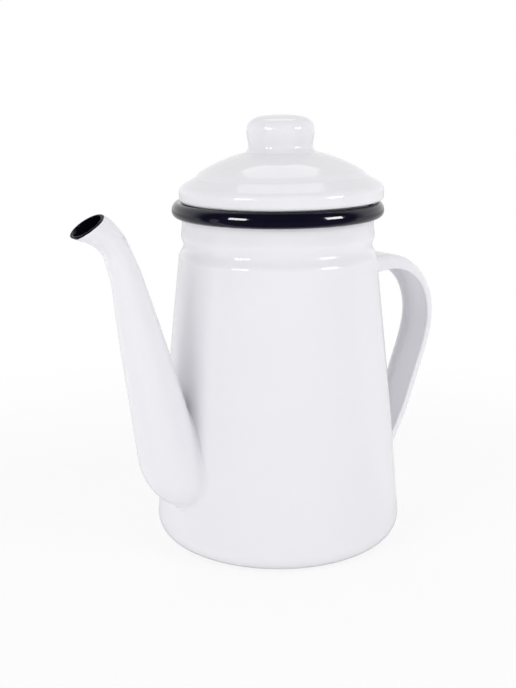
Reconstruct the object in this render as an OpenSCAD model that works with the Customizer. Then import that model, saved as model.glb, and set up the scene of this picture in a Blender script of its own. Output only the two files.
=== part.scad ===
// Enamelled steel can with a goose-neck spout, a strap handle and a loose lift-off lid.
// Millimetres. The can stands on z = 0 on the Z axis, the handle points to +X and the spout to -X.

/* [Sheet] */
// Thickness of the enamelled sheet that every pressing is made from
sheet_t = 1.2; // [0.8:0.1:1.6]
// Gap between faces of the lid and of the can
seat_gap = 0.3; // [0.2:0.05:0.5]

/* [Body] */
// Diameter across the base
base_d = 124; // [112:1:140]
// Radius of the corner between the base and the wall
corner_r = 10.5; // [7:0.5:12]
// Height of the joint between the base pan and the wall
seam_z = 15; // [14:0.5:18]
// Height where the cone of the wall ends
shoulder_z = 142; // [130:1:160]
// Diameter where the cone of the wall ends
shoulder_d = 97.4; // [96:0.2:104]
// How far the wall swells outwards half way up
wall_bow = 0.5; // [0:0.1:1.5]

/* [Neck] */
// Outside diameter of the neck
neck_d = 93.8; // [88:0.2:95]
// How far the groove is pressed in from the neck
groove_in = 0.6; // [0.3:0.1:1]
// Height from the end of the cone to the bottom of the groove
groove_rise = 6.5; // [5:0.5:8]
// How far the raised bead stands out from the neck
bead_out = 0.5; // [0.3:0.1:1]
// Height from the groove to the bead
bead_rise = 4.5; // [3.5:0.5:6]
// Height from the bead to the plain part of the neck
plain_rise = 5; // [4:0.5:7]
// Height of the plain part of the neck, below the rolled rim
plain_h = 3; // [2:0.5:6]

/* [Rim] */
// How far the rolled rim stands out from the neck
rim_out = 4.8; // [4:0.1:6]
// Height of the rolled rim
rim_h = 8.6; // [7:0.1:10]
// Height of the widest part of the rim above its underside
rim_belly = 3.7; // [3:0.1:4.5]
// Gap round the wire inside the rolled rim
wire_gap = 0.05; // [0.02:0.01:0.1]

/* [Lid] */
// How far the edge of the lid stands out past the crown of the rim
lid_over = 1; // [0:0.1:2]
// Radius of the lower corner of the edge
edge_low_r = 2.4; // [2:0.1:3]
// Height of the straight part of the edge
edge_h = 2; // [1:0.1:4]
// Radius of the upper corner of the edge
edge_top_r = 4; // [3:0.1:5]
// Slope of the shelf inside the edge, in degrees
shelf_a = 29; // [20:1:35]
// Width of the shelf
shelf_w = 6; // [4:0.2:7]
// Width of the step from the shelf up to the dome
step_w = 2; // [1.5:0.1:3]
// Height of the step from the shelf up to the dome
step_h = 2.3; // [1.8:0.1:3.5]
// Rise of the dome above the step
dome_h = 11.2; // [8:0.2:14]
// Diameter of the vent hole in the dome, inside the knob
vent_d = 5; // [4:0.5:8]
// Radial gap between the collar and the neck
collar_gap = 2.5; // [1:0.1:4]
// Depth of the collar below the underside of the lid
collar_depth = 11; // [8:0.5:16]
// Width of the collar's flange, inside the lid
collar_flange = 3; // [2:0.2:4]
// Radial gap between the collar and the hole in the lid
collar_fit = 0.1; // [0.05:0.05:0.3]

/* [Knob] */
// Greatest diameter of the knob
knob_d = 33.4; // [28:0.2:38]
// How far the waist of the knob is drawn in on each side
waist_in = 0.8; // [0.4:0.1:2]
// How far the foot of the knob spreads out past its waist
foot_out = 1.5; // [1:0.1:2.5]
// Height of the waist above the foot
waist_rise = 3.4; // [3:0.1:5]
// Height of the widest part above the waist
belly_rise = 6.4; // [5:0.2:8]
// Height of the top above the widest part
crown_rise = 7.8; // [6:0.2:10]

/* [Spout] */
// Height of the middle of the root
root_z = 38.4; // [36:0.2:44]
// Diameter of the root
root_d = 36.2; // [32:0.2:40]
// Distance from the wall to the first corner of the spout's route
root_out = 2.8; // [1:0.2:5]
// Radius of the bend at the root
root_bend = 20; // [19:0.5:24]
// Diameter at the end of the root's bend
foot_d = 28; // [24:0.2:31]
// Diameter half way along
middle_d = 20.5; // [17:0.2:23]
// Diameter at the narrowest point
throat_d = 13; // [11:0.2:16]
// Diameter at the mouth, square to the bore
mouth_d = 15.4; // [13:0.2:18]
// Distance from the wall to the middle of the mouth
mouth_out = 46.5; // [40:0.5:55]
// How far the middle of the mouth lies below the top of the rim
mouth_drop = 3.5; // [0:0.5:10]
// Angle of the last straight leg above the horizontal
mouth_a = 25; // [15:1:35]
// Angle of the cut of the mouth, measured from a square cut
cut_a = 37; // [20:1:42]
// Length of the last leg, from its corner to the mouth
tip_leg = 14.2; // [12:0.2:18]
// Angle of the leg before it above the horizontal
throat_a = 70; // [60:1:74]
// Length of the leg before it, from corner to corner
throat_leg = 21.4; // [18:0.2:26]
// Radius of the slight bend below the throat
throat_bend = 57; // [40:1:70]
// Radius of the bend at the mouth
mouth_bend = 22; // [18:0.5:25]
// Length of the dark lip at the mouth
lip_l = 1.6; // [1:0.1:3]
// Diameter of a strainer hole
strain_d = 5; // [3:0.5:6]
// Distance between strainer holes
strain_pitch = 9; // [7:0.5:10]

/* [Handle] */
// Width of the strap
strap_w = 20; // [16:0.5:24]
// Depth of the strap's flanges
strap_depth = 5.1; // [4:0.1:7]
// Depth of the flanges where the strap leaves the shoulder
strap_root_depth = 8.8; // [7:0.1:11]
// Length over which the flanges reach their plain depth
strap_taper = 62; // [40:1:80]
// Outside radius of the strap's rounded edges
strap_edge_r = 3; // [2:0.1:4]
// Depth of the strap's upper face below the end of the wall's cone
strap_drop = 5.1; // [3:0.1:12]
// Distance from the wall to the strap's upper corner
strap_out = 60.6; // [52:0.2:70]
// Radius of the upper bend
strap_bend = 35.5; // [30:0.5:38]
// Height from the second corner up to the first
second_drop = 50; // [45:1:55]
// Distance from the wall to the second corner
second_out = 44.2; // [38:0.2:50]
// Radius of the second bend
second_bend = 95; // [60:5:120]
// Height of the third corner above the strap's lower face
third_rise = 25.6; // [22:0.2:30]
// Distance from the wall to the third corner
third_out = 25.4; // [22:0.2:30]
// Radius of the third bend
third_bend = 57; // [30:1:70]
// Height of the strap's lower face where it meets the wall
low_z = 24; // [20:0.5:30]
// Distance from the wall to the lowest corner
low_out = 8.9; // [8:0.2:14]
// Radius of the lowest bend
low_bend = 10; // [8:0.5:12]

/* [Hidden] */
$fn = 96;
ENAMEL = [0.93, 0.93, 0.95];
NAVY = [0.06, 0.05, 0.14];
STEEL = [0.55, 0.56, 0.58];
arc_steps = 8;
bow_steps = 10;
dome_steps = 18;
edge_steps = 4;
spout_sides = 16;
bend_steps = 6;
small_fn = 32;
// A cutter reaches this far past the solid that it cuts
past = 1;

base_r = base_d / 2;
shoulder_r = shoulder_d / 2;
neck_r = neck_d / 2;
groove_r = neck_r - groove_in;
bead_r = neck_r + bead_out;
groove_z = shoulder_z + groove_rise;
bead_z = groove_z + bead_rise;
plain_z = bead_z + plain_rise;
rim_z = plain_z + plain_h;
rim_top = rim_z + rim_h;
bore_r = neck_r - sheet_t;
rim_r = neck_r + rim_out;
crown_r = (bore_r + rim_r) / 2;
roll_half = (rim_r - bore_r) / 2;
wire_r = roll_half - sheet_t - wire_gap;

lid_z = rim_top + seat_gap;
lid_r = crown_r + lid_over;
collar_r = bore_r - collar_gap;
flange_z = lid_z + sheet_t;
edge_arc_a = 90 - shelf_a;
shelf_r = lid_r - edge_top_r + edge_top_r * cos(edge_arc_a);
shelf_z = lid_z + edge_low_r + edge_h + edge_top_r * sin(edge_arc_a);
step_r = shelf_r - shelf_w;
step_z = shelf_z + shelf_w * tan(shelf_a);
dome_r = step_r - step_w;
dome_z = step_z + step_h;
sphere_r = (dome_r * dome_r + dome_h * dome_h) / (2 * dome_h);
sphere_z = dome_z + dome_h - sphere_r;

knob_r = knob_d / 2;
waist_r = knob_r - waist_in;
foot_r = waist_r + foot_out;
foot_z = dome_at(foot_r);
waist_z = foot_z + waist_rise;
belly_z = waist_z + belly_rise;
// Exponent of the rounded outline of the knob's top
crown_power = 2.4;

// Angle by which the cone leans inwards, and the height where the corner's arc meets it
cone_a = atan((base_r - shoulder_r) / (shoulder_z - corner_r));
cone_z = corner_r + corner_r * sin(cone_a);
cone_r = base_r - corner_r + corner_r * cos(cone_a);

function dome_at(r) = sphere_z + sqrt(sphere_r * sphere_r - r * r);
function mix(a, b, t) = a + (b - a) * t;
function ease(t) = (1 - cos(180 * max(0, min(1, t)))) / 2;
// Outside radius of the wall at height z, between the corner and the shoulder
function wall_r(z) =
    let (t = (z - cone_z) / (shoulder_z - cone_z))
    mix(cone_r, shoulder_r, t) + wall_bow * sin(180 * max(0, min(1, t)));

// Points on an ellipse round [x, z], from one angle to another
function arc(x, z, rx, rz, from, to, steps = arc_steps) =
    [for (i = [0:steps]) let (a = mix(from, to, i / steps)) [x + rx * cos(a), z + rz * sin(a)]];
// Points of a smooth S curve from a to b, without its first point
function swell(a, b, steps = arc_steps) =
    [for (i = [1:steps]) let (t = i / steps) [mix(a[0], b[0], ease(t)), mix(a[1], b[1], t)]];

function unit(v) = v / norm(v);
function side_of(v) = [-v[1], v[0]];
// Points at distance t to the left of an open line
function beside(line, t) =
    [for (i = [0:len(line) - 1])
        let (
            last = len(line) - 1,
            before = unit(line[max(i, 1)] - line[max(i, 1) - 1]),
            after = unit(line[min(i, last - 1) + 1] - line[min(i, last - 1)]),
            half = unit(side_of(before) + side_of(after))
        )
        line[i] + half * t / (half * side_of(before))];
function reversed(list) = [for (i = [len(list) - 1:-1:0]) list[i]];
// Outline of a sheet of thickness t that lies to the left of an open line, kept off the far side of the axis
function sheet(line, t = sheet_t) =
    [for (p = concat(line, reversed(beside(line, t)))) [max(0, p[0]), p[1]]];

// Outside of the can from the middle of the base to the underside of the rim
function pot_line() = concat(
    [[0, 0]],
    arc(base_r - corner_r, corner_r, corner_r, corner_r, -90, cone_a),
    [for (i = [1:bow_steps]) let (z = mix(cone_z, shoulder_z, i / bow_steps)) [wall_r(z), z]],
    swell([shoulder_r, shoulder_z], [groove_r, groove_z]),
    swell([groove_r, groove_z], [bead_r, bead_z]),
    swell([bead_r, bead_z], [neck_r, plain_z]),
    [[neck_r, rim_z]]
);
// Outline of the rolled rim, drawn in on every side by inset
function rim_outline(inset) = concat(
    [[bore_r + inset, rim_z + inset]],
    arc(crown_r, rim_z + rim_belly, roll_half - inset, rim_belly - inset, -90, 0),
    arc(crown_r, rim_z + rim_belly, roll_half - inset, rim_h - rim_belly - inset, 0, 180)
);
// Outside of the lid from the hole for the collar, round the edge and up to the vent
function lid_line() = concat(
    [[collar_r + collar_fit, lid_z]],
    arc(lid_r - edge_low_r, lid_z + edge_low_r, edge_low_r, edge_low_r, -90, 0),
    arc(lid_r - edge_top_r, lid_z + edge_low_r + edge_h, edge_top_r, edge_top_r, 0, edge_arc_a),
    [[step_r, step_z]],
    [for (i = [0:dome_steps]) let (r = mix(dome_r, vent_d / 2, i / dome_steps)) [r, dome_at(r)]]
);
// Outside of the knob from its foot on the dome to the top. The foot runs on past the dome by one step.
function knob_line() = concat(
    [for (i = [-1:arc_steps - 1])
        let (t = i / arc_steps) [waist_r + foot_out * pow(1 - t, 2), mix(foot_z, waist_z, t)]],
    [[waist_r, waist_z]],
    swell([waist_r, waist_z], [knob_r, belly_z]),
    [for (i = [1:arc_steps])
        let (a = 90 * i / arc_steps)
        [knob_r * pow(max(0, cos(a)), 2 / crown_power), belly_z + crown_rise * pow(sin(a), 2 / crown_power)]]
);

function heading(a, b) = atan2(b[1] - a[1], b[0] - a[0]);
function along(a) = [cos(a), sin(a)];
function wrapped(a) = a > 180 ? a - 360 : a < -180 ? a + 360 : a;
// Stations [x, z, heading] round a corner b between a and c, rounded with radius r
function corner(a, b, c, r) =
    let (
        from = heading(a, b),
        turn = wrapped(heading(b, c) - from),
        way = sign(turn),
        start = b - along(from) * r * tan(abs(turn) / 2),
        centre = start + side_of(along(from)) * r * way
    )
    [for (i = [0:bend_steps])
        let (h = from + turn * i / bend_steps, p = centre - side_of(along(h)) * r * way)
        [p[0], p[1], h]];
// Stations along a line whose inner corners are rounded, with extra ones on each straight leg
function route(corners, bends, steps) =
    let (
        last = len(corners) - 1,
        turns = [for (i = [1:last - 1]) corner(corners[i - 1], corners[i], corners[i + 1], bends[i - 1])],
        first_h = heading(corners[0], corners[1]),
        last_h = heading(corners[last - 1], corners[last]),
        ends = concat([[[corners[0][0], corners[0][1], first_h]]], turns,
                      [[[corners[last][0], corners[last][1], last_h]]])
    )
    [for (i = [0:len(ends) - 1])
        for (p = concat(ends[i], i == len(ends) - 1 ? [] : between(ends[i], ends[i + 1], steps[i]))) p];
function between(one, next, steps) =
    let (a = one[len(one) - 1], b = next[0])
    [for (i = [1:1:steps - 1])
        [mix(a[0], b[0], i / steps), mix(a[1], b[1], i / steps), a[2]]];
function gap_after(list, i) =
    i + 1 < len(list) ? norm([list[i + 1][0] - list[i][0], list[i + 1][1] - list[i][1]]) : 0;
// Distance of each station from the first
function run(list) = [for (i = 0, s = 0; i < len(list); s = s + gap_after(list, i), i = i + 1) s];

// Value at x of a smooth curve through the points of a table [[x, value], ...]
function curve_at(table, x) =
    let (
        last = len(table) - 1,
        i = max([for (k = [0:last - 1]) x >= table[k][0] ? k : 0]),
        h = table[i + 1][0] - table[i][0],
        t = (x - table[i][0]) / h,
        m0 = i == 0 ? (table[1][1] - table[0][1]) / (table[1][0] - table[0][0])
            : (table[i + 1][1] - table[i - 1][1]) / (table[i + 1][0] - table[i - 1][0]),
        m1 = i + 1 == last ? 0 : (table[i + 2][1] - table[i][1]) / (table[i + 2][0] - table[i][0])
    )
    (2 * t * t * t - 3 * t * t + 1) * table[i][1] + (t * t * t - 2 * t * t + t) * h * m0
    + (3 * t * t - 2 * t * t * t) * table[i + 1][1] + (t * t * t - t * t) * h * m1;

// Route of the middle of the spout, with x measured outwards from the axis of the can
root_wall = wall_r(root_z);
mouth_at = [root_wall + mouth_out, rim_top - mouth_drop];
lip_at = mouth_at - along(mouth_a) * lip_l;
bend_at = mouth_at - along(mouth_a) * tip_leg;
throat_at = bend_at - along(throat_a) * throat_leg;
// The root starts this far inside the wall, and the can's shape is cut out of it
root_in = 21;
// Steps on the straight legs: the root, the long leg, the throat and the tip
spout_steps = [1, 12, 3, 2];
// Shares of the spout's length at which its diameters are set
foot_share = 0.3;
middle_share = 0.6;
throat_share = 0.86;
spout_corners = [[root_wall - root_in, root_z], [root_wall + root_out, root_z], throat_at, bend_at, lip_at];
spout_bends = [root_bend, throat_bend, mouth_bend];
spout_route = concat(route(spout_corners, spout_bends, spout_steps),
                     [[mouth_at[0], mouth_at[1], mouth_a]]);
spout_run = run(spout_route);
spout_length = spout_run[len(spout_run) - 1];
spout_bore = [[0, root_d / 2], [foot_share, foot_d / 2], [middle_share, middle_d / 2],
              [throat_share, throat_d / 2], [1, mouth_d / 2]];
// Length before the mouth over which the sections turn from square to the slanted cut
cut_run = 17;
// Rows of strainer holes above the middle row, and as many below it
strain_rows = 2;

// Point of the spout's surface, drawn in by inset, at station i and angle a round the bore
function spout_point(i, a, inset) =
    let (
        p = spout_route[i],
        tilt = cut_a * ease((spout_run[i] - spout_length + cut_run) / cut_run),
        r = curve_at(spout_bore, spout_run[i] / spout_length) - inset,
        up = side_of(along(p[2] + tilt)) * r * sin(a) / cos(tilt)
    )
    [-(p[0] + up[0]), r * cos(a), p[1] + up[1]];
// Angle round the bore at step k of one half, from its lowest to its highest point. Side 1 is the half on +Y,
// to the right of someone who stands behind the handle and faces the spout, and -1 is the left half.
function half_angle(k, side) = side * (180 * k / spout_sides - 90) + (side < 0 ? 180 : 0);
// Section of one half of the spout's sheet, up its outer face and back down its inner face
function half_section(i, side) = concat(
    [for (k = [0:spout_sides]) spout_point(i, half_angle(k, side), 0)],
    [for (k = [spout_sides:-1:0]) spout_point(i, half_angle(k, side), sheet_t)]
);

// Route of the outside of the strap, and the section of its channel
strap_z = shoulder_z - strap_drop;
// The strap starts and ends this far inside the wall, and the can's shape is cut out of it
strap_in = 4;
// Steps on the straight legs, from the upper one to the lowest
strap_steps = [2, 2, 2, 2, 1];
strap_bends = [strap_bend, second_bend, third_bend, low_bend];
strap_corners = [
    [wall_r(strap_z) - strap_in, strap_z],
    [wall_r(strap_z) + strap_out, strap_z],
    [wall_r(strap_z - second_drop) + second_out, strap_z - second_drop],
    [wall_r(low_z + third_rise) + third_out, low_z + third_rise],
    [wall_r(low_z) + low_out, low_z],
    [wall_r(low_z) - strap_in, low_z]
];
strap_route = route(strap_corners, strap_bends, strap_steps);
strap_run = run(strap_route);
function channel(depth) =
    let (
        half = strap_w / 2,
        round_in = strap_edge_r - sheet_t,
        x = half - strap_edge_r
    )
    concat(
        [[-half, depth]],
        arc(-x, strap_edge_r, strap_edge_r, strap_edge_r, 180, 270, edge_steps),
        arc(x, strap_edge_r, strap_edge_r, strap_edge_r, 270, 360, edge_steps),
        [[half, depth], [half - sheet_t, depth]],
        arc(x, strap_edge_r, round_in, round_in, 360, 270, edge_steps),
        arc(-x, strap_edge_r, round_in, round_in, 270, 180, edge_steps),
        [[-half + sheet_t, depth]]
    );
function strap_section(i) =
    let (
        p = strap_route[i],
        depth = mix(strap_root_depth, strap_depth, ease(strap_run[i] / strap_taper)),
        inward = -side_of(along(p[2]))
    )
    [for (q = channel(depth)) [p[0] + inward[0] * q[1], q[0], p[1] + inward[1] * q[1]]];

// Solid through a list of sections. The first half of a section's points runs along one face of a sheet,
// and the rest run back along its other face. A loop joins its last section to its first.
module loft(sections, loop = false) {
    n = len(sections[0]);
    count = len(sections);
    joins = loop ? count : count - 1;
    sides = [for (i = [0:joins - 1]) for (k = [0:n - 1])
        let (j = (i + 1) % count, m = (k + 1) % n, a = i * n + k, b = i * n + m, c = j * n + m, d = j * n + k)
        for (face = [[a, b, c], [a, c, d]]) face];
    end = (count - 1) * n;
    caps = loop ? [] : [for (k = [0:n / 2 - 2])
        let (m = n - 1 - k)
        for (face = [[k, m, k + 1], [k + 1, m, m - 1],
                     [end + k, end + k + 1, end + m], [end + k + 1, end + m - 1, end + m]]) face];
    polyhedron([for (section = sections) for (p = section) p], concat(sides, caps));
}

// Everything inside the outside face of the can, up to the rim
module pot_space() {
    rotate_extrude() polygon(concat(pot_line(), [[0, rim_z]]));
}

// Everything under the outside face of the lid
module lid_space() {
    rotate_extrude() polygon(concat(lid_line(), [[0, dome_at(vent_d / 2)], [0, lid_z]]));
}

module pot_shell() {
    rotate_extrude() polygon(sheet(pot_line()));
}

// Slice of space between two heights
module level(from, to) {
    translate([0, 0, from]) cylinder(r = base_r + past, h = to - from);
}

module base_pan() {
    color(ENAMEL) intersection() {
        pot_shell();
        level(-past, seam_z);
    }
}

// A diamond of holes behind the spout's root, in rows that lie in each other's gaps
module strainer_holes() {
    row_h = strain_pitch * sin(60);
    middle_z = root_z + (foot_d - root_d) / 2 + row_h;
    reach = base_r / 2;
    for (row = [-strain_rows:strain_rows]) {
        count = strain_rows + 1 - abs(row);
        for (i = [0:count - 1])
            translate([-base_r - past, (i - (count - 1) / 2) * strain_pitch, middle_z + row * row_h])
                rotate([0, 90, 0]) cylinder(d = strain_d, h = reach, $fn = small_fn);
    }
}

module body_wall() {
    color(ENAMEL) difference() {
        intersection() {
            pot_shell();
            level(seam_z, rim_z);
        }
        strainer_holes();
    }
}

module rim_bead() {
    color(NAVY) difference() {
        rotate_extrude() polygon(rim_outline(0));
        rotate_extrude() polygon(rim_outline(sheet_t));
    }
}

module rim_wire() {
    color(STEEL) rotate_extrude()
        translate([crown_r, rim_z + rim_belly]) circle(r = wire_r, $fn = small_fn);
}

module spout_half(side) {
    stations = [0:len(spout_route) - 2];
    color(ENAMEL) difference() {
        loft([for (i = stations) half_section(i, side)]);
        pot_space();
    }
}

module spout_left_half() {
    spout_half(-1);
}

module spout_right_half() {
    spout_half(1);
}

module spout_lip() {
    last = len(spout_route) - 1;
    color(NAVY) loft([for (k = [0:2 * spout_sides - 1])
        let (a = 180 * k / spout_sides)
        [spout_point(last - 1, a, 0), spout_point(last, a, 0),
         spout_point(last, a, sheet_t), spout_point(last - 1, a, sheet_t)]], loop = true);
}

module handle_strap() {
    color(ENAMEL) difference() {
        loft([for (i = [0:len(strap_route) - 1]) strap_section(i)]);
        pot_space();
    }
}

module lid_dome() {
    color(ENAMEL) rotate_extrude() polygon(sheet(lid_line()));
}

module lid_collar() {
    low = lid_z - collar_depth;
    color(ENAMEL) rotate_extrude() polygon([
        [collar_r - sheet_t, low], [collar_r, low], [collar_r, flange_z],
        [collar_r + collar_flange, flange_z], [collar_r + collar_flange, flange_z + sheet_t],
        [collar_r - sheet_t, flange_z + sheet_t]
    ]);
}

module knob() {
    color(ENAMEL) difference() {
        rotate_extrude() polygon(sheet(knob_line()));
        lid_space();
    }
}

base_pan();
body_wall();
rim_bead();
rim_wire();
spout_left_half();
spout_right_half();
spout_lip();
handle_strap();
lid_dome();
lid_collar();
knob();
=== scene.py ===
"""The looks of an enamelled can with a goose-neck spout, a strap handle and a loose lift-off lid.

Sizes are in millimetres and become metres when a mesh is made. Angles are in degrees. Headings, turns,
CONE_LEAN and ROUND are in radians.
"""

import math

import bmesh
import bpy
import numpy as np
from mathutils import Matrix, Vector


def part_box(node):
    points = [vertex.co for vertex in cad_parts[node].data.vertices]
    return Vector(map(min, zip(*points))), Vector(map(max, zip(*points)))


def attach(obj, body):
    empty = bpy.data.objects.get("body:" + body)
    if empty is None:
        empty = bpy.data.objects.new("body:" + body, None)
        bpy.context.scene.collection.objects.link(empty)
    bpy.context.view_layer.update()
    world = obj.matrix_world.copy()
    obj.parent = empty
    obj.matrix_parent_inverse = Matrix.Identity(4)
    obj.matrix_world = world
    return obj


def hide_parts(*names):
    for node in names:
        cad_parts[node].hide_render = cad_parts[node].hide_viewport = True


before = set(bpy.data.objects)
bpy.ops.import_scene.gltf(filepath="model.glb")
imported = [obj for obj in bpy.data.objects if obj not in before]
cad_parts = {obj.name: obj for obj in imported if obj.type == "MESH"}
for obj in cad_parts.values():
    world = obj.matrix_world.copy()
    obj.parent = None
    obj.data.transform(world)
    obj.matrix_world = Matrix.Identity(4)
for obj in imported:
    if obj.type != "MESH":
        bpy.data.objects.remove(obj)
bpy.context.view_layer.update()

MM = 0.001


def low(node):
    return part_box(node)[0] / MM


def high(node):
    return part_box(node)[1] / MM


# Sizes that the frame gives
BASE_R = high("base_pan").x
SEAM_Z = high("base_pan").z
RIM_Z = low("rim_bead").z
RIM_TOP = high("rim_bead").z
RIM_R = high("rim_bead").x
LID_Z = low("lid_dome").z
LID_R = high("lid_dome").x
COLLAR_Z = low("lid_collar").z
COLLAR_TOP = high("lid_collar").z
COLLAR_FLANGE_R = high("lid_collar").x
STRAP_W = (high("handle_strap") - low("handle_strap")).y

# The rolled rim is slimmer than its solid by these heights, and the lid's edge comes down with its top
ROLL_RISE = 0.8
ROLL_DROP = 0.3
ROLL_Z = RIM_Z + ROLL_RISE
ROLL_TOP = RIM_TOP - ROLL_DROP
EDGE_Z = LID_Z - ROLL_DROP

# Sheet and can
SHEET_T = 1.2
CORNER_R = 10.5
SHOULDER_Z = 142
SHOULDER_R = 48.7
WALL_BOW = 0.5
NECK_R = 46.9
GROOVE_R = 46.3
GROOVE_Z = 148.5
BEAD_R = 47.4
BEAD_Z = 153
PLAIN_Z = 158
RIM_BELLY = 3.1

# Lid and knob
EDGE_LOW_R = 1.8
EDGE_H = 2.9
EDGE_TOP_R = 4
SHELF_A = 29
SHELF_W = 6
STEP_W = 2
STEP_H = 2.3
STEP_ROUND = 2.5
DOME_H = 11.2
VENT_R = 2.5
COLLAR_FIT = 0.1
COLLAR_FLANGE = 3
KNOB_R = 16.4
WAIST_IN = 0.8
FOOT_OUT = 1.5
WAIST_RISE = 3.4
BELLY_RISE = 6.4
CROWN_RISE = 7.8
CROWN_POWER = 2.8

# The loose lid lies a little to the right in the neck as the camera sees it, with that side higher
LID_ASIDE = 1.75
LID_LEAN = 0.7

# Spout
ROOT_Z = 38.4
ROOT_R = 18.1
ROOT_OUT = 2.8
ROOT_BEND = 20
ROOT_IN = 21
FOOT_R = 14
MIDDLE_R = 10.25
THROAT_R = 6.5
MOUTH_R = 7.3
FOOT_SHARE = 0.3
MIDDLE_SHARE = 0.6
THROAT_SHARE = 0.86
MOUTH_OUT = 45.6
MOUTH_DROP = 3.9
MOUTH_A = 25
CUT_A = 33
CUT_RUN = 15
TIP_LEG = 13.2
THROAT_A = 70
THROAT_LEG = 21.4
THROAT_BEND = 57
MOUTH_BEND = 22
# Depth of the dark lip round most of the mouth, and under its tip
LIP_L = 0.7
TIP_LIP_L = 1.8
# Uneven edge of the lip: height of each wave, waves all round, and where it starts in radians
LIP_WAVES = ((0.05, 7, 2), (0.04, 13, 0))
# How far into the mouth the dark lip runs on as a lining, painted shade for the shaded inside of the
# spout
SHADE_LINING_L = 17
STRAIN_R = 2.5
STRAIN_PITCH = 9
STRAIN_ROWS = 2

# Handle
STRAP_DEPTH = 5.1
STRAP_ROOT_DEPTH = 8.8
STRAP_TAPER = 62
STRAP_EDGE_R = 3
STRAP_DROP = 5.1
STRAP_OUT = 60.6
STRAP_BEND = 35.5
SECOND_DROP = 50
SECOND_OUT = 44.2
SECOND_BEND = 95
THIRD_RISE = 25.6
THIRD_OUT = 25.4
THIRD_BEND = 57
LOW_Z = 24
LOW_OUT = 8.9
LOW_BEND = 10
STRAP_IN = 4

# Enamel that fills the corners where a piece joins the wall
SPOUT_FILLET = 2.2
STRAP_FILLET = 1.4
SUNK = 0.1

# Fineness of the meshes
LATHE_SIDES = 144
KNOB_SIDES = 96
HOLE_SIDES = 32
ARC_STEPS = 14
ROW_H = 2
SUPPORT = 0.3
SPOUT_SIDES = 72
SPOUT_ROWS = 110
SEAM_ROWS = 12
LIP_ROWS = 5
SHADE_LINING_ROWS = 14
STRAP_ROWS = 130
FILLET_ROWS = 10
TRACE_STEP = 0.25
HALVINGS = 40
SHARP_A = 38

# Camera: the angle by which its view is turned about the can, its tilt down and its roll
VIEW_A = 37
VIEW_DOWN = 13.888
VIEW_ROLL = -0.264
CAMERA_AT = (-329.2, -420.4, 229.2)
LENS = 57.215
SENSOR = 36

# Enamel: noise per metre of its soft clouds, slow waves, fine ripples and patches of shine
CLOUD_SCALE = 38
WAVE_SCALE = 45
RIPPLE_SCALE = 650
PATCH_SCALE = 120


def mix(a, b, t):
    return a + (b - a) * t


def ease(t):
    return (1 - np.cos(np.pi * np.clip(t, 0, 1))) / 2


def along(a):
    """Unit vector at an angle in radians."""
    return np.array([math.cos(a), math.sin(a)])


def arc(x, z, rx, rz, start, end, steps=ARC_STEPS):
    """Points on an ellipse round (x, z), from one angle to another."""
    a = np.radians(np.linspace(start, end, steps + 1))
    return np.column_stack([x + rx * np.cos(a), z + rz * np.sin(a)])


def swell(a, b, steps=ARC_STEPS):
    """Points of a smooth S curve from a to b, without its first point."""
    t = np.linspace(0, 1, steps + 1)[1:]
    return np.column_stack([mix(a[0], b[0], ease(t)), mix(a[1], b[1], t)])


def straight(a, b, longest=ROW_H):
    """Points on a line from a to b without its ends, with one close to each end."""
    a, b = np.array(a, float), np.array(b, float)
    length = np.linalg.norm(b - a)
    if length < 3 * SUPPORT:
        return np.empty((0, 2))
    inner = np.linspace(SUPPORT, length - SUPPORT, max(2, math.ceil(length / longest) + 1))
    return a + (b - a) * (inner / length)[:, None]


def beside(line, t):
    """Points at distance t to the left of an open line."""
    steps = np.diff(line, axis=0)
    steps /= np.linalg.norm(steps, axis=1)[:, None]
    left = np.column_stack([-steps[:, 1], steps[:, 0]])
    before = np.vstack([left[:1], left])
    after = np.vstack([left, left[-1:]])
    half = before + after
    half /= np.linalg.norm(half, axis=1)[:, None]
    return line + half * t / (half * before).sum(axis=1)[:, None]


def sheet(line, thickness=SHEET_T):
    """Closed outline of a sheet to the left of an open line, kept off the far side of the axis."""
    outline = np.vstack([line, beside(line, thickness)[::-1]])
    outline[:, 0] = np.maximum(outline[:, 0], 0)
    return outline


def heading(a, b):
    return math.atan2(b[1] - a[1], b[0] - a[0])


def corner(a, b, c, radius):
    """Start, centre, first heading, turn and end of the arc that rounds the corner b between a and c."""
    come = heading(a, b)
    turn = (heading(b, c) - come + math.pi) % (2 * math.pi) - math.pi
    reach = radius * math.tan(abs(turn) / 2)
    start = np.array(b) - reach * along(come)
    side = math.copysign(radius, turn)
    centre = start + side * along(come + math.pi / 2)
    return start, centre, come, turn, centre - side * along(come + turn + math.pi / 2)


def rounded(a, b, c, radius, steps=ARC_STEPS // 2):
    """Points of the arc that rounds the corner b between a and c."""
    _, centre, come, turn, _ = corner(a, b, c, radius)
    side = math.copysign(radius, turn)
    ways = come + turn * np.linspace(0, 1, steps + 1) + math.pi / 2
    return np.array([centre - side * along(way) for way in ways])


CONE_LEAN = math.atan((BASE_R - SHOULDER_R) / (SHOULDER_Z - CORNER_R))
CONE_Z = CORNER_R + CORNER_R * math.sin(CONE_LEAN)
CONE_R = BASE_R - CORNER_R + CORNER_R * math.cos(CONE_LEAN)


def wall_r(z):
    """Outside radius of the wall between its lower corner and its shoulder."""
    t = (z - CONE_Z) / (SHOULDER_Z - CONE_Z)
    return mix(CONE_R, SHOULDER_R, t) + WALL_BOW * np.sin(np.pi * np.clip(t, 0, 1))


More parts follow.
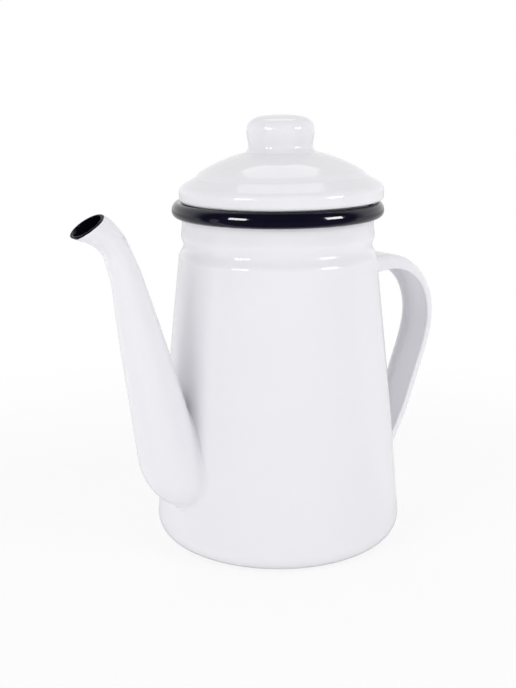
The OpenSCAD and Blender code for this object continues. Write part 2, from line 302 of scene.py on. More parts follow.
def pot_line():
    """Outside of the can from the middle of its base to the underside of its rim."""
    corner_x = BASE_R - CORNER_R
    z = np.linspace(CONE_Z, SHOULDER_Z, math.ceil((SHOULDER_Z - CONE_Z) / ROW_H) + 1)[1:]
    return np.vstack([
        [[0, 0]],
        straight((0, 0), (corner_x, 0), 3 * ROW_H),
        arc(corner_x, CORNER_R, CORNER_R, CORNER_R, -90, math.degrees(CONE_LEAN)),
        np.column_stack([wall_r(z), z]),
        swell((SHOULDER_R, SHOULDER_Z), (GROOVE_R, GROOVE_Z)),
        swell((GROOVE_R, GROOVE_Z), (BEAD_R, BEAD_Z)),
        swell((BEAD_R, BEAD_Z), (NECK_R, PLAIN_Z)),
        [[NECK_R, ROLL_Z]],
    ])


def split_line(line, z):
    """The parts of a rising line below and above a height, both with a point at that height."""
    i = int(np.argmax(line[:, 1] > z))
    t = (z - line[i - 1, 1]) / (line[i, 1] - line[i - 1, 1])
    cut = mix(line[i - 1], line[i], t)
    return np.vstack([line[:i], cut]), np.vstack([cut, line[i:]])


def rim_outline(inset=0.0):
    """Closed outline of the rolled rim, drawn in on every side by inset."""
    bore = NECK_R - SHEET_T
    middle = (bore + RIM_R) / 2
    half = (RIM_R - bore) / 2 - inset
    belly_z = ROLL_Z + RIM_BELLY
    bottom = (bore + inset, ROLL_Z + inset)
    return np.vstack([
        [bottom],
        straight(bottom, (middle, ROLL_Z + inset), 1),
        arc(middle, belly_z, half, RIM_BELLY - inset, -90, 0),
        arc(middle, belly_z, half, ROLL_TOP - belly_z - inset, 0, 180)[1:],
        straight((bore + inset, belly_z), bottom, 1),
    ])


COLLAR_R = COLLAR_FLANGE_R - COLLAR_FLANGE
EDGE_ARC_A = 90 - SHELF_A
SHELF_R = LID_R - EDGE_TOP_R + EDGE_TOP_R * math.cos(math.radians(EDGE_ARC_A))
SHELF_Z = EDGE_Z + EDGE_LOW_R + EDGE_H + EDGE_TOP_R * math.sin(math.radians(EDGE_ARC_A))
STEP_R = SHELF_R - SHELF_W
STEP_Z = SHELF_Z + SHELF_W * math.tan(math.radians(SHELF_A))
DOME_R = STEP_R - STEP_W
DOME_Z = STEP_Z + STEP_H
SPHERE_R = (DOME_R**2 + DOME_H**2) / (2 * DOME_H)
SPHERE_Z = DOME_Z + DOME_H - SPHERE_R


def dome_at(r):
    return SPHERE_Z + np.sqrt(SPHERE_R**2 - r**2)


def lid_line():
    """Outside of the lid from the hole for its collar, round the edge and up to the vent."""
    hole = (COLLAR_R + COLLAR_FIT, EDGE_Z)
    low_x = LID_R - EDGE_LOW_R
    top_z = EDGE_Z + EDGE_LOW_R + EDGE_H
    shelf = (SHELF_R, SHELF_Z)
    step = (STEP_R, STEP_Z)
    ledge = (DOME_R, DOME_Z)
    slope = math.asin(DOME_R / SPHERE_R)
    inwards = (DOME_R - math.cos(slope), DOME_Z + math.sin(slope))
    foot = rounded(shelf, step, ledge, STEP_ROUND)
    brow = rounded(step, ledge, inwards, STEP_ROUND)
    r = np.linspace(brow[-1, 0], VENT_R, math.ceil(DOME_R / ROW_H) + 1)[1:]
    return np.vstack([
        [hole],
        straight(hole, (low_x, EDGE_Z), 1),
        arc(low_x, EDGE_Z + EDGE_LOW_R, EDGE_LOW_R, EDGE_LOW_R, -90, 0),
        straight((LID_R, EDGE_Z + EDGE_LOW_R), (LID_R, top_z), 1),
        arc(LID_R - EDGE_TOP_R, top_z, EDGE_TOP_R, EDGE_TOP_R, 0, EDGE_ARC_A),
        straight(shelf, foot[0], 1),
        foot,
        brow,
        np.column_stack([r, dome_at(r)]),
    ])


def collar_outline():
    """Closed outline of the ring under the lid, with its lower edge rounded and a flange at its top."""
    half = SHEET_T / 2
    inner = COLLAR_R - SHEET_T
    flange_z = COLLAR_TOP - SHEET_T
    edge = arc(COLLAR_R - half, COLLAR_Z + half, half, half, -180, 0)
    return np.vstack([
        edge,
        straight(edge[-1], (COLLAR_R, flange_z), 1.5),
        [[COLLAR_R, flange_z], [COLLAR_FLANGE_R - half, flange_z]],
        arc(COLLAR_FLANGE_R - half, COLLAR_TOP - half, half, half, -90, 90)[1:],
        [[inner + half, COLLAR_TOP]],
        arc(inner + half, COLLAR_TOP - half, half, half, 90, 180)[1:],
    ])


def knob_line():
    """Outside of the knob from its foot on the dome to its top."""
    waist_r = KNOB_R - WAIST_IN
    foot_z = dome_at(waist_r + FOOT_OUT)
    waist_z = foot_z + WAIST_RISE
    belly_z = waist_z + BELLY_RISE
    t = np.arange(-1, ARC_STEPS + 1) / ARC_STEPS
    a = np.radians(np.linspace(0, 90, 2 * ARC_STEPS + 1)[1:])
    return np.vstack([
        np.column_stack([waist_r + FOOT_OUT * (1 - t) ** 2, mix(foot_z, waist_z, t)]),
        swell((waist_r, waist_z), (KNOB_R, belly_z)),
        np.column_stack([
            KNOB_R * np.maximum(np.cos(a), 0) ** (2 / CROWN_POWER),
            belly_z + CROWN_RISE * np.sin(a) ** (2 / CROWN_POWER),
        ]),
    ])


def lathe(outline, sides=LATHE_SIDES):
    """Points and faces of a closed outline turned round the Z axis. One on the axis stays one point."""
    turns = 2 * np.pi * np.arange(sides) / sides
    points, rings = [], []
    for r, z in outline:
        if r < 1e-6:
            rings.append([len(points)] * sides)
            points.append((0, 0, z))
        else:
            rings.append(list(range(len(points), len(points) + sides)))
            points.extend((r * math.cos(a), r * math.sin(a), z) for a in turns)
    faces = []
    for i, ring in enumerate(rings):
        above = rings[(i + 1) % len(rings)]
        for j in range(sides):
            k = (j + 1) % sides
            corners = [ring[j], ring[k], above[k], above[j]]
            face = [c for n, c in enumerate(corners) if c != corners[n - 1]]
            if len(face) > 2:
                faces.append(face)
    return points, faces


def tube(rows, capped=False):
    """Points and faces of a tube through rows of points. It is a ring, or has a flat cap at each end."""
    count = len(rows[0])
    joins = len(rows) - 1 if capped else len(rows)
    faces = []
    for i in range(joins):
        here = i * count
        there = (i + 1) % len(rows) * count
        for j in range(count):
            k = (j + 1) % count
            faces.append([here + j, here + k, there + k, there + j])
    if capped:
        faces.append(list(range(count)))
        faces.append(list(range((len(rows) - 1) * count, len(rows) * count)))
    return np.vstack(rows), faces


def new_mesh(name, shapes):
    """A mesh made of closed shapes, each given by its points in millimetres and its faces."""
    build = bmesh.new()
    for points, faces in shapes:
        corners = [build.verts.new(Vector(point) * MM) for point in points]
        for face in faces:
            build.faces.new([corners[k] for k in face])
    bmesh.ops.recalc_face_normals(build, faces=build.faces)
    mesh = bpy.data.meshes.new(name)
    build.to_mesh(mesh)
    build.free()
    return mesh


def finish_piece(name, mesh, material, slot, body, *nodes):
    """Make a mesh into a piece that stands for CAD nodes and rides on a body."""
    mesh.shade_smooth()
    mesh.set_sharp_from_angle(angle=math.radians(SHARP_A))
    mesh.materials.clear()
    mesh.materials.append(material)
    piece = bpy.data.objects.new(name, mesh)
    bpy.context.scene.collection.objects.link(piece)
    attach(piece, body)
    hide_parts(*nodes)
    return piece


def pierced(mesh, cutter):
    """A copy of a mesh with the space of another cut out of it."""
    scene = bpy.context.scene
    whole = bpy.data.objects.new("whole", mesh)
    tool = bpy.data.objects.new("tool", cutter)
    for thing in (whole, tool):
        scene.collection.objects.link(thing)
    cut = whole.modifiers.new("cut", "BOOLEAN")
    cut.operation = "DIFFERENCE"
    cut.solver = "EXACT"
    cut.object = tool
    depsgraph = bpy.context.evaluated_depsgraph_get()
    result = bpy.data.meshes.new_from_object(whole.evaluated_get(depsgraph))
    for thing in (whole, tool):
        bpy.data.objects.remove(thing)
    return result


def route(corners, bends):
    """Fine stations [x, z, heading, distance] along a line whose inner corners are rounded."""
    stations = []
    at = np.array(corners[0], float)
    for i, radius in enumerate(bends, start=1):
        start, centre, come, turn, end = corner(corners[i - 1], corners[i], corners[i + 1], radius)
        legs = max(2, math.ceil(np.linalg.norm(start - at) / TRACE_STEP))
        stations += [[*mix(at, start, t), come] for t in np.linspace(0, 1, legs, endpoint=False)]
        steps = max(2, math.ceil(radius * abs(turn) / TRACE_STEP))
        side = math.copysign(radius, turn)
        for h in np.linspace(come, come + turn, steps, endpoint=False):
            stations.append([*(centre - side * along(h + math.pi / 2)), h])
        at = end
    last = np.array(corners[-1], float)
    legs = max(2, math.ceil(np.linalg.norm(last - at) / TRACE_STEP))
    stations += [[*mix(at, last, t), heading(corners[-2], corners[-1])] for t in np.linspace(0, 1, legs)]
    stations = np.array(stations)
    steps = np.linalg.norm(np.diff(stations[:, :2], axis=0), axis=1)
    return np.column_stack([stations, np.concatenate([[0], np.cumsum(steps)])])


def on_route(stations, s):
    """x, z and heading at distance s along a route."""
    return tuple(np.interp(s, stations[:, 3], stations[:, k]) for k in range(3))


def curve_at(table, x):
    """Value at x of a smooth curve through the rows [x, value] of a table."""
    xs, ys = np.array(table, float).T
    slope = np.zeros(len(xs))
    slope[0] = (ys[1] - ys[0]) / (xs[1] - xs[0])
    slope[1:-1] = (ys[2:] - ys[:-2]) / (xs[2:] - xs[:-2])
    i = np.clip(np.searchsorted(xs, x, side="right") - 1, 0, len(xs) - 2)
    h = xs[i + 1] - xs[i]
    t = (x - xs[i]) / h
    return (
        (2 * t**3 - 3 * t**2 + 1) * ys[i]
        + (t**3 - 2 * t**2 + t) * h * slope[i]
        + (3 * t**2 - 2 * t**3) * ys[i + 1]
        + (t**3 - t**2) * h * slope[i + 1]
    )


def off_wall(points):
    """Distance of points from the outside of the wall."""
    radius = np.hypot(points[:, 0], points[:, 1])
    return (radius - wall_r(points[:, 2])) * math.cos(CONE_LEAN)


def reach_of(surface, inside, outside, clear):
    """Distance along each line of a surface at which it is that clear of the wall.

    surface(s) takes one distance for each line. The answers lie between inside and outside.
    """
    inside, outside = inside.copy(), outside.copy()
    for _ in range(HALVINGS):
        middle = (inside + outside) / 2
        near = off_wall(surface(middle)) < clear
        inside = np.where(near, middle, inside)
        outside = np.where(near, outside, middle)
    return (inside + outside) / 2


def along_wall(direction, points):
    """The part of directions that runs along the wall at some points, at unit length."""
    radial = points[:, :2] / np.hypot(points[:, 0], points[:, 1])[:, None]
    up = np.full(len(points), math.sin(CONE_LEAN))
    outwards = np.column_stack([radial * math.cos(CONE_LEAN), up])
    flat = direction - outwards * (direction * outwards).sum(axis=1)[:, None]
    return flat / np.linalg.norm(flat, axis=1)[:, None]


def fillet_rows(surface, normal, inside, outside, radius):
    """Distances at which a surface's fillet on the wall begins, and its rows of points to the wall."""
    start = reach_of(surface, inside, outside, radius)
    rows = []
    for t in np.linspace(0, 1, FILLET_ROWS + 1)[1:]:
        clear = radius * (1 - math.sin(math.pi / 2 * t))
        push = radius * (1 - math.cos(math.pi / 2 * t))
        s = reach_of(surface, inside, outside, clear)
        points = surface(s)
        points = points + along_wall(normal(s), points) * push
        wanted = wall_r(points[:, 2]) + (clear - SUNK * t) / math.cos(CONE_LEAN)
        points[:, :2] *= (wanted / np.hypot(points[:, 0], points[:, 1]))[:, None]
        rows.append(points)
    return start, rows


def back_from(point, angle, length):
    return np.array(point) - length * along(math.radians(angle))


# Route of the middle of the spout, with x measured outwards from the axis of the can
ROOT_WALL = wall_r(ROOT_Z)
MOUTH_AT = (ROOT_WALL + MOUTH_OUT, RIM_TOP - MOUTH_DROP)
BEND_AT = back_from(MOUTH_AT, MOUTH_A, TIP_LEG)
THROAT_AT = back_from(BEND_AT, THROAT_A, THROAT_LEG)
SPOUT_ROUTE = route(
    [(ROOT_WALL - ROOT_IN, ROOT_Z), (ROOT_WALL + ROOT_OUT, ROOT_Z), THROAT_AT, BEND_AT, MOUTH_AT],
    [ROOT_BEND, THROAT_BEND, MOUTH_BEND],
)
SPOUT_L = SPOUT_ROUTE[-1, 3]
SPOUT_BORE = [
    [0, ROOT_R],
    [FOOT_SHARE, FOOT_R],
    [MIDDLE_SHARE, MIDDLE_R],
    [THROAT_SHARE, THROAT_R],
    [1, MOUTH_R],
]
ROUND = 2 * np.pi * np.arange(SPOUT_SIDES) / SPOUT_SIDES


def spout_out(s):
    """Way from the middle of the spout to its surface at distances s, one for each line round it."""
    heading_there = on_route(SPOUT_ROUTE, s)[2]
    tilt = math.radians(CUT_A) * ease((s - SPOUT_L + CUT_RUN) / CUT_RUN)
    up = np.sin(ROUND) / np.cos(tilt)
    lean = heading_there + tilt
    return np.column_stack([np.sin(lean) * up, np.cos(ROUND), np.cos(lean) * up])


def spout_surface(s, inset=0.0):
    """Points of the spout's outside, or inset from it, at distances s, one for each line round it."""
    x, z, _ = on_route(SPOUT_ROUTE, s)
    middle = np.column_stack([-x, np.zeros_like(x), z])
    radius = curve_at(SPOUT_BORE, s / SPOUT_L) - inset
    return middle + spout_out(s) * radius[:, None]


def lip_edge():
    """Distance along the spout at which white enamel meets the dark lip, deepest under the tip."""
    tip = np.maximum(-np.sin(ROUND), 0) ** 3
    wave = sum(height * np.sin(count * ROUND + start) for height, count, start in LIP_WAVES)
    return SPOUT_L - mix(LIP_L, TIP_LIP_L, tip) - wave


def spout_shapes():
    """The spout's white sheet, and the dark lip: its enamel trim at the mouth, and a lining inside the
    mouth that is painted shade.
    """
    edge = lip_edge()
    whole = np.full(SPOUT_SIDES, SPOUT_L)
    half = SHEET_T / 2

    def inner(s):
        return spout_surface(s, SHEET_T)

    start, foot = fillet_rows(spout_surface, spout_out, 0 * whole, whole, SPOUT_FILLET)
    outside = [spout_surface(mix(edge, start, t)) for t in np.linspace(0, 1, SPOUT_ROWS)]
    bore_foot = reach_of(inner, 0 * whole, whole, -SUNK)
    shade_lining = whole - SHADE_LINING_L
    inside = [inner(mix(bore_foot, shade_lining, t)) for t in np.linspace(0, 1, SPOUT_ROWS)]
    lip = [spout_surface(mix(edge, whole - half, t)) for t in np.linspace(0, 1, LIP_ROWS)]
    for a in np.linspace(0, math.pi, ARC_STEPS + 1)[1:-1]:
        lip.append(spout_surface(whole - half * (1 - math.sin(a)), half * (1 - math.cos(a))))
    # The dark lining inside the mouth is painted shade
    lip += [inner(mix(whole - half, shade_lining, t)) for t in np.linspace(0, 1, SHADE_LINING_ROWS)]
    seam = [spout_surface(mix(edge, shade_lining, t), half) for t in np.linspace(0, 1, SEAM_ROWS)]
    return tube(outside + foot + inside + seam[::-1]), tube(lip + seam[::-1])


# Route of the outside of the strap
STRAP_Z = SHOULDER_Z - STRAP_DROP
STRAP_ROUTE = route(
    [
        (wall_r(STRAP_Z) - STRAP_IN, STRAP_Z),
        (wall_r(STRAP_Z) + STRAP_OUT, STRAP_Z),
        (wall_r(STRAP_Z - SECOND_DROP) + SECOND_OUT, STRAP_Z - SECOND_DROP),
        (wall_r(LOW_Z + THIRD_RISE) + THIRD_OUT, LOW_Z + THIRD_RISE),
        (wall_r(LOW_Z) + LOW_OUT, LOW_Z),
        (wall_r(LOW_Z) - STRAP_IN, LOW_Z),
    ],
    [STRAP_BEND, SECOND_BEND, THIRD_BEND, LOW_BEND],
)
STRAP_L = STRAP_ROUTE[-1, 3]


def flange(x, start, end):
    """Rows [across, inwards, share of the flange's depth] on one face of a flange, without its ends."""
    return [[x, mix(start[0], end[0], t), mix(start[1], end[1], t)] for t in (0.1, 0.35, 0.65, 0.9)]


def channel():
    """Section of the strap: rows [across, inwards, share of the flange's depth added to inwards]."""
    half = STRAP_W / 2
    lip = SHEET_T / 2
    x = half - STRAP_EDGE_R
    root, tip = (STRAP_EDGE_R, 0), (-lip, 1)

    def bend(at, radius, start, end):
        points = arc(at, STRAP_EDGE_R, radius, radius, start, end, ARC_STEPS // 2)
        return [[p, q, 0] for p, q in points]

    def back(start, end, depth):
        return [[mix(start, end, t), depth, 0] for t in (0.05, 0.3, 0.5, 0.7, 0.95)]

    def end(at):
        return [[p, q, 1] for p, q in arc(at, -lip, lip, lip, 0, 180, ARC_STEPS // 2)]

    inner = STRAP_EDGE_R - SHEET_T
    return np.array(
        flange(-half, tip, root)
        + bend(-x, STRAP_EDGE_R, 180, 270)
        + back(-x, x, 0)
        + bend(x, STRAP_EDGE_R, 270, 360)
        + flange(half, root, tip)
        + end(half - lip)
        + flange(half - SHEET_T, tip, root)
        + bend(x, inner, 360, 270)
        + back(x, -x, SHEET_T)
        + bend(-x, inner, 270, 180)
        + flange(-half + SHEET_T, root, tip)
        + end(-half + lip)
    )


CHANNEL = channel()


def strap_frame(s):
    """Middle of the strap's outside, the way inwards, and its section at distances s, one a line."""
    x, z, h = on_route(STRAP_ROUTE, s)
    depth = mix(STRAP_ROOT_DEPTH, STRAP_DEPTH, ease(s / STRAP_TAPER))
    zero = np.zeros_like(x)
    section = np.column_stack([CHANNEL[:, 0], CHANNEL[:, 1] + CHANNEL[:, 2] * depth])
    return np.column_stack([x, zero, z]), np.column_stack([np.sin(h), zero, -np.cos(h)]), section


def strap_surface(s):
    middle, inwards, section = strap_frame(s)
    points = middle + inwards * section[:, 1:]
    points[:, 1] = section[:, 0]
    return points


def strap_out(s):
    """Way out of the strap's surface, square to its section's outline."""
    _, inwards, section = strap_frame(s)
    step = np.roll(section, -1, axis=0) - np.roll(section, 1, axis=0)
    out = inwards * -step[:, :1]
    out[:, 1] = step[:, 1]
    return out / np.linalg.norm(out, axis=1)[:, None]


def strap_shape():
    one = np.ones(len(CHANNEL))
    middle = one * STRAP_L / 2
    top_start, top_rows = fillet_rows(strap_surface, strap_out, 0 * one, middle, STRAP_FILLET)
    low_start, low_rows = fillet_rows(strap_surface, strap_out, one * STRAP_L, middle, STRAP_FILLET)
    between = [strap_surface(mix(top_start, low_start, t)) for t in np.linspace(0, 1, STRAP_ROWS)]
    return tube(top_rows[::-1] + between + low_rows, capped=True)


def strainer_mesh():
    """Cutters for a diamond of holes behind the spout's root, in rows that lie in each other's gaps."""
    row_h = STRAIN_PITCH * math.sin(math.radians(60))
    middle_z = ROOT_Z + FOOT_R - ROOT_R + row_h
    shapes = []
    for row in range(-STRAIN_ROWS, STRAIN_ROWS + 1):
        count = STRAIN_ROWS + 1 - abs(row)
        for i in range(count):
            y = (i - (count - 1) / 2) * STRAIN_PITCH
            ring = arc(y, middle_z + row * row_h, STRAIN_R, STRAIN_R, 0, 360, HOLE_SIDES)[:-1]
            ends = [np.column_stack([np.full(HOLE_SIDES, x), ring]) for x in (-BASE_R - 1, -BASE_R / 2)]
            shapes.append(tube(ends, capped=True))
    return new_mesh("strainer", shapes)


class Nodes:
    """A material's or world's node tree with short calls to fill it."""

    def __init__(self, owner):
        owner.use_nodes = True
        self.tree = owner.node_tree
        self.tree.nodes.clear()

    def add(self, kind, inputs=None, **settings):
        node = self.tree.nodes.new(kind)
        for name, value in settings.items():
            setattr(node, name, value)
        for name, value in (inputs or {}).items():
            if isinstance(value, bpy.types.NodeSocket):
                self.tree.links.new(value, node.inputs[name])
            else:
                node.inputs[name].default_value = value
        return node

    def noise(self, place, scale, detail):
        inputs = {"Vector": place, "Scale": scale, "Detail": detail}
        return self.add("ShaderNodeTexNoise", inputs).outputs["Fac"]

    def math(self, operation, a, b):
        return self.add("ShaderNodeMath", {0: a, 1: b}, operation=operation).outputs[0]

    def along(self, direction, way):
        inputs = {0: direction, 1: way}
        return self.add("ShaderNodeVectorMath", inputs, operation="DOT_PRODUCT").outputs["Value"]

    def spread(self, value, low_in, high_in, low_out=0.0, high_out=1.0):
        inputs = {
            "Value": value,
            "From Min": low_in,
            "From Max": high_in,
            "To Min": low_out,
            "To Max": high_out,
        }
        node = self.add("ShaderNodeMapRange", inputs, interpolation_type="SMOOTHSTEP")
        return node.outputs["Result"]

    def colour(self, factor, a, b):
        node = self.add("ShaderNodeMix", data_type="RGBA")
        sockets = {0: factor, 6: a, 7: b}
        for index, value in sockets.items():
            if isinstance(value, bpy.types.NodeSocket):
                self.tree.links.new(value, node.inputs[index])
            else:
                node.inputs[index].default_value = value
        return node.outputs[2]

    def blend(self, factor, a, b):
        return self.add("ShaderNodeMix", {0: factor, 2: a, 3: b}).outputs[0]

    def bump(self, height, distance, under=None):
        inputs = {"Height": height, "Distance": distance, "Strength": 1.0}
        if under is not None:
            inputs["Normal"] = under
        return self.add("ShaderNodeBump", inputs).outputs["Normal"]

    def place(self):
        return self.add("ShaderNodeTexCoord").outputs["Object"]


def enamel(name, main, other, waves, roughness, level):
    """Glass-hard enamel: two close tints in soft clouds over a skin with fine ripples and slow waves.

    waves holds the heights in metres of the slow waves and the ripples, and roughness its two limits.
    """
    material = bpy.data.materials.new(name)
    tree = Nodes(material)
    place = tree.place()
    clouds = tree.spread(tree.noise(place, CLOUD_SCALE, 3), 0.35, 0.65)
    slow = tree.bump(tree.noise(place, WAVE_SCALE, 1), waves[0])
    fine = tree.bump(tree.noise(place, RIPPLE_SCALE, 2), waves[1], slow)
    shine = tree.spread(tree.noise(place, PATCH_SCALE, 3), 0.3, 0.7, *roughness)
    shader = tree.add("ShaderNodeBsdfPrincipled", {
        "Base Color": tree.colour(clouds, (*main, 1), (*other, 1)),
        "Roughness": shine,
        "Specular IOR Level": level,
        "Normal": fine,
    })
    tree.add("ShaderNodeOutputMaterial", {"Surface": shader.outputs["BSDF"]})
    return material


def steel(name):
    """Drawn wire: fine lines round the ring."""
    material = bpy.data.materials.new(name)
    tree = Nodes(material)
    place = tree.place()
    stretched = tree.add("ShaderNodeMapping", {"Vector": place, "Scale": (1, 1, 40)}).outputs["Vector"]
    lines = tree.noise(stretched, 300, 4)
    shader = tree.add("ShaderNodeBsdfPrincipled", {
        "Base Color": tree.colour(lines, (0.5, 0.51, 0.53, 1), (0.6, 0.61, 0.63, 1)),
        "Metallic": 1.0,
        "Roughness": tree.spread(lines, 0.2, 0.8, 0.3, 0.45),
        "Normal": tree.bump(lines, 0.00002),
    })
    tree.add("ShaderNodeOutputMaterial", {"Surface": shader.outputs["BSDF"]})
    return material


WHITE = enamel(
    "white_enamel",
    main=(0.827, 0.825, 0.858),
    other=(0.821, 0.819, 0.853),
    waves=(0.00003, 0.0000008),
    roughness=(0.032, 0.042),
    level=0.2,
)
NAVY = enamel(
    "navy_enamel",
    main=(0.004, 0.004, 0.011),
    other=(0.006, 0.005, 0.015),
    waves=(0.00004, 0.000002),
    roughness=(0.05, 0.09),
    level=0.4,
)
# Dark enamel of the spout's lip trim, also painted shade on the lining inside its mouth
LIP_AND_SHADE_NAVY = enamel(
    "navy_lip_and_shade",
    main=(0.004, 0.004, 0.008),
    other=(0.006, 0.005, 0.01),
    waves=(0.00004, 0.000002),
    roughness=(0.07, 0.12),
    level=0.1,
)
STEEL = steel("wire_steel")


def make_can():
    lower, upper = split_line(pot_line(), SEAM_Z)
    finish_piece("pan", new_mesh("pan", [lathe(sheet(lower))]), WHITE, "white_enamel", "can", "base_pan")
    wall = pierced(new_mesh("wall", [lathe(sheet(upper))]), strainer_mesh())
    finish_piece("wall", wall, WHITE, "white_enamel", "can", "body_wall")
    rim = new_mesh("rim", [lathe(rim_outline()), lathe(rim_outline(SHEET_T))])
    finish_piece("rim", rim, NAVY, "navy_enamel", "can", "rim_bead")
    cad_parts["rim_wire"].data.materials.clear()
    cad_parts["rim_wire"].data.materials.append(STEEL)


def make_spout():
    white, dark = spout_shapes()
    halves = ("spout_left_half", "spout_right_half")
    finish_piece("spout", new_mesh("spout", [white]), WHITE, "white_enamel", "can", *halves)
    # The dark lip: enamel trim at the mouth, and painted shade on its lining inside
    finish_piece("lip", new_mesh("lip", [dark]), LIP_AND_SHADE_NAVY, "navy_enamel", "can", "spout_lip")


def make_handle():
    strap = new_mesh("strap", [strap_shape()])
    finish_piece("strap", strap, WHITE, "white_enamel", "can", "handle_strap")


def picture_to_frame(x, y):
    """Turn a level direction to the right and away from the camera into one of the frame."""
    a = math.radians(VIEW_A)
    return (x * math.cos(a) + y * math.sin(a), -x * math.sin(a) + y * math.cos(a))


def make_lid():
    """The lid's pieces, set aside and leant over as the loose lid lies."""
    aside = Vector((*picture_to_frame(LID_ASIDE, 0), 0)) * MM
    seat = Vector((0, 0, LID_Z)) * MM
    lean = Matrix.Rotation(math.radians(-LID_LEAN), 4, Vector((*picture_to_frame(0, 1), 0)))
    rest = Matrix.Translation(seat + aside) @ lean @ Matrix.Translation(-seat)
    pieces = (
        ("lid", lathe(sheet(lid_line())), "lid_dome"),
        ("collar", lathe(collar_outline()), "lid_collar"),
        ("knob_shell", lathe(sheet(knob_line()), KNOB_SIDES), "knob"),
    )
    for name, shape, node in pieces:
        mesh = new_mesh(name, [shape])
        mesh.transform(rest)
        finish_piece(name, mesh, WHITE, "white_enamel", "lid", node)


def make_camera():
    down = math.radians(VIEW_DOWN)
    roll = math.radians(VIEW_ROLL)
    forward = Vector((*picture_to_frame(0, math.cos(down)), -math.sin(down)))
    level = Vector((*picture_to_frame(1, 0), 0))
    rise = level.cross(forward)
    right = math.cos(roll) * level + math.sin(roll) * rise
    up = right.cross(forward)
    data = bpy.data.cameras.new("camera")
    data.lens = LENS
    data.sensor_width = SENSOR
    data.sensor_fit = "AUTO"
    camera = bpy.data.objects.new("camera", data)
    turn = Matrix((right, up, -forward)).transposed().to_4x4()
    camera.matrix_world = Matrix.Translation(Vector(CAMERA_AT) * MM) @ turn
    bpy.context.scene.collection.objects.link(camera)
    bpy.context.scene.camera = camera


LAMP_FAR = 1.6
# A glint stands just in front of the lamp that it belongs to
GLINT_NEARER = 0.97
AIM = Vector((0, 0, 0.1))
# Each lamp's name, angles to the side of the camera and up, width and height in degrees, radiance, and
# whether it is mirrored
LAMPS = (
    ("left_softbox", -48, 20, 25, 28, 3.2, False),
    ("right_softbox", 60, 24, 25, 28, 3.1, False),
    ("left_glint", -44, 19, 19, 14, 26, True),
    ("right_glint", 61, 17, 19, 15, 26, True),
    ("top_glint", 180, 64, 30, 26, 1.8, True),
)


def make_lamp(name, azimuth, elevation, width, height, radiance, mirrored):
    """A softbox seen from the can at angles to the side of the camera and up, as wide and high as given.

    One that is mirrored shows only as a glint in glossy surfaces, and the others only light the can.
    """
    a, e = math.radians(azimuth), math.radians(elevation)
    far = LAMP_FAR * (GLINT_NEARER if mirrored else 1)
    x, y = picture_to_frame(math.sin(a) * math.cos(e), -math.cos(a) * math.cos(e))
    towards = Vector((x, y, math.sin(e)))
    data = bpy.data.lights.new(name, "AREA")
    data.shape = "RECTANGLE"
    data.size = 2 * far * math.tan(math.radians(width / 2))
    data.size_y = 2 * far * math.tan(math.radians(height / 2))
    data.energy = radiance * math.pi * data.size * data.size_y
    lamp = bpy.data.objects.new(name, data)
    turn = towards.to_track_quat("Z", "Y").to_matrix().to_4x4()
    lamp.matrix_world = Matrix.Translation(AIM + towards * far) @ turn
    lamp.visible_glossy = mirrored
    lamp.visible_diffuse = not mirrored
    bpy.context.scene.collection.objects.link(lamp)


PLAIN_WHITE = (1, 1, 1, 1)
# The room's light and what glossy surfaces mirror of it, on the camera's side and behind the can
ROOM_LIGHT = (0.68, 0.93)
ROOM_MIRRORED = (0.02, 1.0)
# Cosines of the angle from straight behind the can between which the room turns from one to the other
ROOM_TURN = (-0.1, 0.35)
# Factor of the room's light near the horizon and overhead, and the sines of the heights between them
SKY_FACTORS = (1.03, 0.86)
SKY_HEIGHTS = (0.1, 0.9)


def make_world():
    """White behind the can and dim on the camera's side, and white wherever it is seen directly."""
    world = bpy.data.worlds.new("room")
    bpy.context.scene.world = world
    tree = Nodes(world)
    direction = tree.add("ShaderNodeTexCoord").outputs["Generated"]
    behind = tree.along(direction, Vector((*picture_to_frame(0, 1), 0.0)))
    level = tree.spread(behind, *ROOM_TURN, *ROOM_LIGHT)
    height = tree.add("ShaderNodeSeparateXYZ", {0: direction}).outputs["Z"]
    light = tree.math("MULTIPLY", level, tree.spread(height, *SKY_HEIGHTS, *SKY_FACTORS))
    mirrored = tree.spread(behind, *ROOM_TURN, *ROOM_MIRRORED)
    ray = tree.add("ShaderNodeLightPath").outputs
    unseen = tree.blend(ray["Is Glossy Ray"], light, mirrored)
    strength = tree.math("MAXIMUM", unseen, ray["Is Camera Ray"])
    back = tree.add("ShaderNodeBackground", {"Color": PLAIN_WHITE, "Strength": strength})
    tree.add("ShaderNodeOutputWorld", {"Surface": back.outputs["Background"]})


FLOOR_R = 4
FLOOR_SIDES = 64
FLOOR_TONES = ((0.9, 0.9, 0.9, 1), (0.92, 0.92, 0.92, 1))
GRAIN_SCALE = 90
# Light that the floor adds to what it throws back up at the can
FLOOR_LIFT = 0.2
# Share of the seen floor that takes shadow, and the distances in metres between which it fades to white
SHADOW_SHARE = 0.25
FADE = (0.12, 0.4)
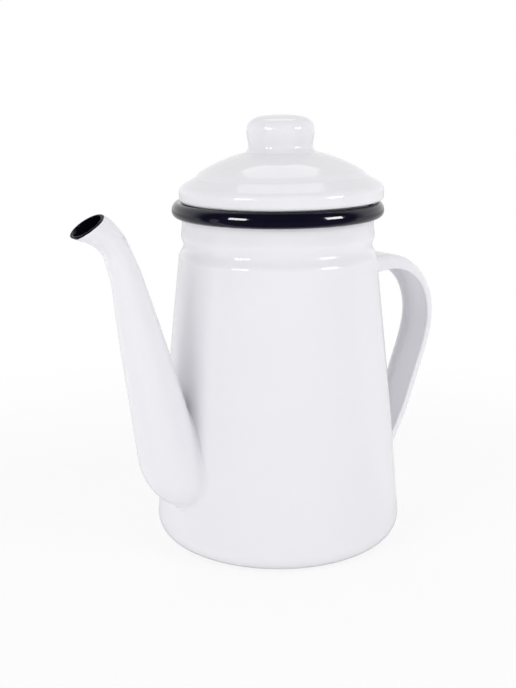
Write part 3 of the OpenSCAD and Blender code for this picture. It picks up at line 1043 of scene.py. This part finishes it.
# Tone mirrored of the floor on the camera's side, and the distances in metres over which it sets in
DIM = (0.06, 0.06, 0.06, 1)
DIM_FROM = (-0.05, 0.1)


def make_floor():
    """A wide pale floor with a faint shadow close to the can, that fades to plain white away from it."""
    material = bpy.data.materials.new("pale_floor")
    tree = Nodes(material)
    place = tree.place()
    tone = tree.colour(tree.noise(place, GRAIN_SCALE, 4), *FLOOR_TONES)
    towards = tree.along(place, Vector((*picture_to_frame(0, -1), 0.0)))

    def diffuse(colour):
        return tree.add("ShaderNodeBsdfDiffuse", {"Color": colour}).outputs[0]

    def glow(strength):
        return tree.add("ShaderNodeEmission", {"Color": PLAIN_WHITE, "Strength": strength}).outputs[0]

    def both(a, b):
        return tree.add("ShaderNodeAddShader", {0: a, 1: b}).outputs[0]

    def either(factor, a, b):
        return tree.add("ShaderNodeMixShader", {0: factor, 1: a, 2: b}).outputs[0]

    ray = tree.add("ShaderNodeLightPath").outputs
    plain = both(diffuse(tone), glow(FLOOR_LIFT))
    dim = diffuse(tree.colour(tree.spread(towards, *DIM_FROM), tone, DIM))
    lit = either(ray["Is Glossy Ray"], plain, dim)
    near = both(diffuse((*[SHADOW_SHARE] * 3, 1)), glow(1 - SHADOW_SHARE))
    distance = tree.add("ShaderNodeVectorMath", {0: place}, operation="LENGTH").outputs["Value"]
    looks = either(tree.spread(distance, *FADE), near, glow(1.0))
    shown = tree.math("MAXIMUM", ray["Is Camera Ray"], ray["Is Transmission Ray"])
    tree.add("ShaderNodeOutputMaterial", {"Surface": either(shown, lit, looks)})
    turns = 2 * np.pi * np.arange(FLOOR_SIDES) / FLOOR_SIDES
    ring = [(FLOOR_R * math.cos(a), FLOOR_R * math.sin(a), 0) for a in turns]
    mesh = bpy.data.meshes.new("floor")
    mesh.from_pydata(ring, [], [list(range(FLOOR_SIDES))])
    mesh.materials.append(material)
    floor = bpy.data.objects.new("floor", mesh)
    bpy.context.scene.collection.objects.link(floor)


make_camera()
for lamp in LAMPS:
    make_lamp(*lamp)
make_world()
make_floor()
make_can()
make_spout()
make_handle()
make_lid()

bpy.context.scene.view_settings.view_transform = "Standard"
